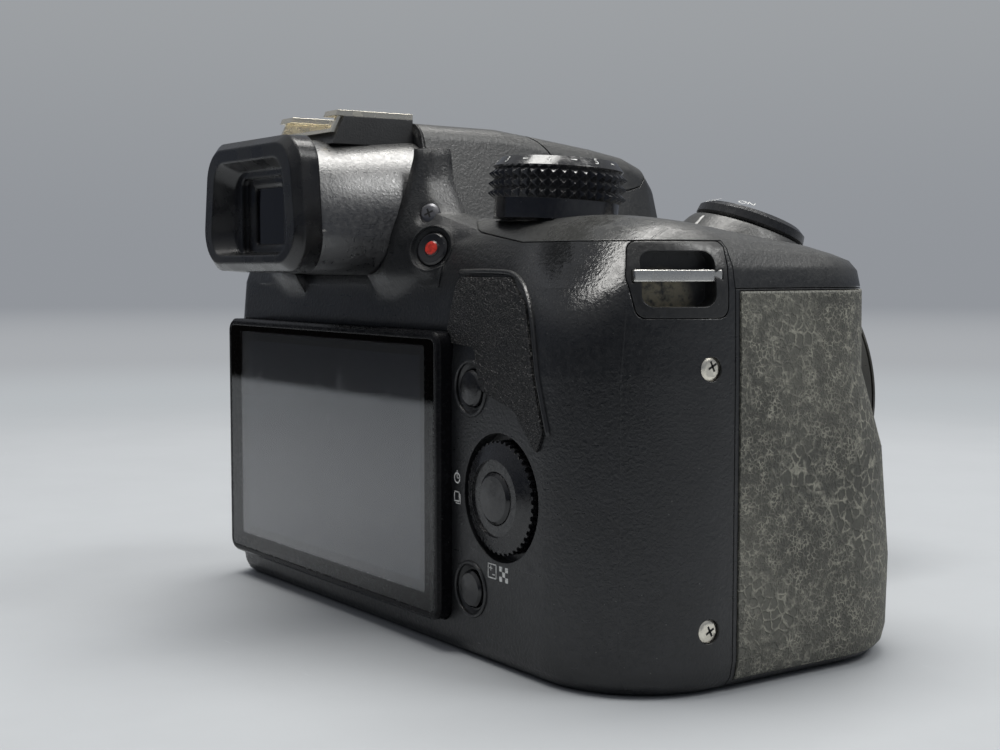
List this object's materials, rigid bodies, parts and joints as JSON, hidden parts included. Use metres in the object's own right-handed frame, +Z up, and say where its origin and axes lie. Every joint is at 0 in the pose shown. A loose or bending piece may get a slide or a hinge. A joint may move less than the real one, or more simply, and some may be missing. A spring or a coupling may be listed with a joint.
{
  "type": "mirrorless camera",
  "caption": "Mirrorless camera with a deep grip, eye-level viewfinder hump with pop-up flash, fixed rear screen and a short zoom lens.",
  "frame": {"origin": "mouth of the tripod socket, in the base under the lens axis", "axes": "+Z up; +Y from the lens towards the person who holds the camera; +X towards that person's left hand, so the grip is on -X and the lens points along -Y"},
  "size_m": [0.1283, 0.13, 0.0909],
  "materials": {
    "body_plastic": "finely textured black paint",
    "base_metal": "satin black paint",
    "grip_rubber": "pebbled, worn",
    "satin_plastic": "satin black",
    "soft_rubber": "smooth",
    "clear_glass": "clear",
    "inner_plastic": "matte",
    "control_plastic": "satin",
    "control_metal": "dark anodised",
    "shoe_metal": "warm bright plating",
    "gloss_black": "glossy",
    "display_face": "dark display",
    "flash_lens": "ribbed diffuser",
    "steel": "plain",
    "black_steel": "blackened",
    "battery_case": "plain",
    "card_plastic": "plain",
    "alloy": "cast",
    "sensor_package": "glossy",
    "circuit_board": "coated board",
    "lamp_window": "tinted",
    "lens_plastic": "satin",
    "lens_rubber": "ribbed",
    "coated_glass": "coated"
  },
  "bodies": {
    "camera_body": {"front_cover": "body_plastic", "rear_cover": "body_plastic", "top_cover": "body_plastic", "base_plate": "base_metal", "grip_rubber": "grip_rubber", "thumb_rest": "grip_rubber", "viewfinder_housing": "satin_plastic", "eyecup": "soft_rubber", "eyepiece_window": "clear_glass", "viewfinder_unit": "inner_plastic", "hot_shoe_block": "satin_plastic", "hot_shoe_rails": "shoe_metal", "screen_bezel": "gloss_black", "screen_glass": "clear_glass", "display_panel": "display_face", "flash_hinge_pin": "steel", "lug_inserts": "satin_plastic", "strap_lugs": "steel", "tripod_socket": "steel", "battery": "battery_case", "battery_door_pin": "steel", "port_panel": "inner_plastic", "memory_card": "card_plastic", "usb_socket": "steel", "chassis": "alloy", "sensor_unit": "sensor_package", "shutter_unit": "inner_plastic", "main_board": "circuit_board", "mount_ring": "steel", "mount_screws": "steel", "body_contacts": "inner_plastic", "af_lamp_window": "lamp_window", "cover_screws": "black_steel", "lens_mount": "steel", "lens_barrel": "lens_plastic", "rear_element": "coated_glass"},
    "mode_dial": {"mode_dial": "control_plastic"},
    "power_ring": {"power_ring": "control_plastic"},
    "shutter_button": {"shutter_button": "control_metal"},
    "finder_button": {"finder_button": "control_plastic"},
    "flash_head": {"flash_head": "body_plastic", "flash_window": "flash_lens"},
    "flash_button": {"flash_button": "control_plastic"},
    "movie_button": {"movie_button": "gloss_black"},
    "upper_soft_key": {"upper_soft_key": "gloss_black"},
    "lower_soft_key": {"lower_soft_key": "gloss_black"},
    "control_wheel": {"control_wheel": "control_plastic"},
    "centre_button": {"centre_button": "gloss_black"},
    "dioptre_dial": {"dioptre_dial": "control_plastic"},
    "battery_door": {"battery_door": "satin_plastic"},
    "battery_latch": {"battery_latch": "control_plastic"},
    "side_door": {"side_door": "body_plastic"},
    "lens_release": {"lens_release_button": "control_plastic", "locking_pin": "steel"},
    "zoom_ring": {"zoom_ring": "lens_rubber"},
    "lens_front": {"inner_barrel": "lens_plastic", "front_ring": "lens_plastic", "front_element": "coated_glass"},
    "focus_ring": {"focus_ring": "lens_rubber"}
  },
  "joints": [
    {"name": "mode_dial_turn", "type": "hinge", "parent": "camera_body", "child": "mode_dial", "pos_m": [-0.0476, 0.0153, 0.072], "axis": [-0.0201, -0.0539, 0.9983], "continuous": true},
    {"name": "power_switch", "type": "hinge", "parent": "camera_body", "child": "power_ring", "pos_m": [-0.0629, -0.0134, 0.0699], "axis": [-0.1193, -0.3205, 0.9397], "range_deg": [0, 32]},
    {"name": "shutter_press", "type": "slide", "parent": "camera_body", "child": "shutter_button", "axis": [0.1193, 0.3205, -0.9397], "range_m": [0, 0.001], "stiffness_N_per_m": 300},
    {"name": "finder_press", "type": "slide", "parent": "camera_body", "child": "finder_button", "axis": [0.0425, 0.1142, -0.9925], "range_m": [0, 0.0007], "stiffness_N_per_m": 300},
    {"name": "flash_lift", "type": "hinge", "parent": "camera_body", "child": "flash_head", "pos_m": [0, 0.002, 0.078], "axis": [-1, 0, 0], "range_deg": [0, 50]},
    {"name": "flash_button_press", "type": "slide", "parent": "camera_body", "child": "flash_button", "axis": [-1, 0, 0], "range_m": [0, 0.0007], "stiffness_N_per_m": 300},
    {"name": "movie_press", "type": "slide", "parent": "camera_body", "child": "movie_button", "axis": [0.461, -0.8419, -0.2806], "range_m": [0, 0.0005], "stiffness_N_per_m": 300},
    {"name": "upper_key_press", "type": "slide", "parent": "camera_body", "child": "upper_soft_key", "axis": [0, -1, 0], "range_m": [0, 0.0005], "stiffness_N_per_m": 300},
    {"name": "lower_key_press", "type": "slide", "parent": "camera_body", "child": "lower_soft_key", "axis": [0, -1, 0], "range_m": [0, 0.0005], "stiffness_N_per_m": 300},
    {"name": "control_wheel_turn", "type": "hinge", "parent": "camera_body", "child": "control_wheel", "pos_m": [-0.0536, 0.03, 0.0273], "axis": [0, 1, 0], "continuous": true},
    {"name": "centre_press", "type": "slide", "parent": "camera_body", "child": "centre_button", "axis": [0, -1, 0], "range_m": [0, 0.0005], "stiffness_N_per_m": 300},
    {"name": "dioptre_turn", "type": "hinge", "parent": "camera_body", "child": "dioptre_dial", "pos_m": [0.0175, 0.033, 0.076], "axis": [1, 0, 0], "range_deg": [-120, 120]},
    {"name": "battery_door_swing", "type": "hinge", "parent": "camera_body", "child": "battery_door", "pos_m": [-0.0534, 0, 0.0013], "axis": [0, -1, 0], "range_deg": [0, 100]},
    {"name": "battery_latch_slide", "type": "slide", "parent": "battery_door", "child": "battery_latch", "axis": [1, 0, 0], "range_m": [0, 0.002]},
    {"name": "side_door_swing", "type": "hinge", "parent": "camera_body", "child": "side_door", "pos_m": [0.0436, 0.0118, 0.029], "axis": [0, 0, -1], "range_deg": [0, 95]},
    {"name": "lens_release_press", "type": "slide", "parent": "camera_body", "child": "lens_release", "axis": [0, 1, 0], "range_m": [0, 0.0018], "stiffness_N_per_m": 300},
    {"name": "zoom_turn", "type": "hinge", "parent": "camera_body", "child": "zoom_ring", "pos_m": [0, -0.045, 0.0355], "axis": [0, -1, 0], "range_deg": [0, 66]},
    {"name": "lens_front_extend", "type": "slide", "parent": "camera_body", "child": "lens_front", "axis": [0, -1, 0], "range_m": [0, 0.014]},
    {"name": "focus_turn", "type": "hinge", "parent": "lens_front", "child": "focus_ring", "pos_m": [0, -0.065, 0.0355], "axis": [0, -1, 0], "continuous": true}
  ],
  "couplings": [
    {"joint": "lens_front_extend", "follows": "zoom_turn", "m_per_rad": 0.01215}
  ]
}
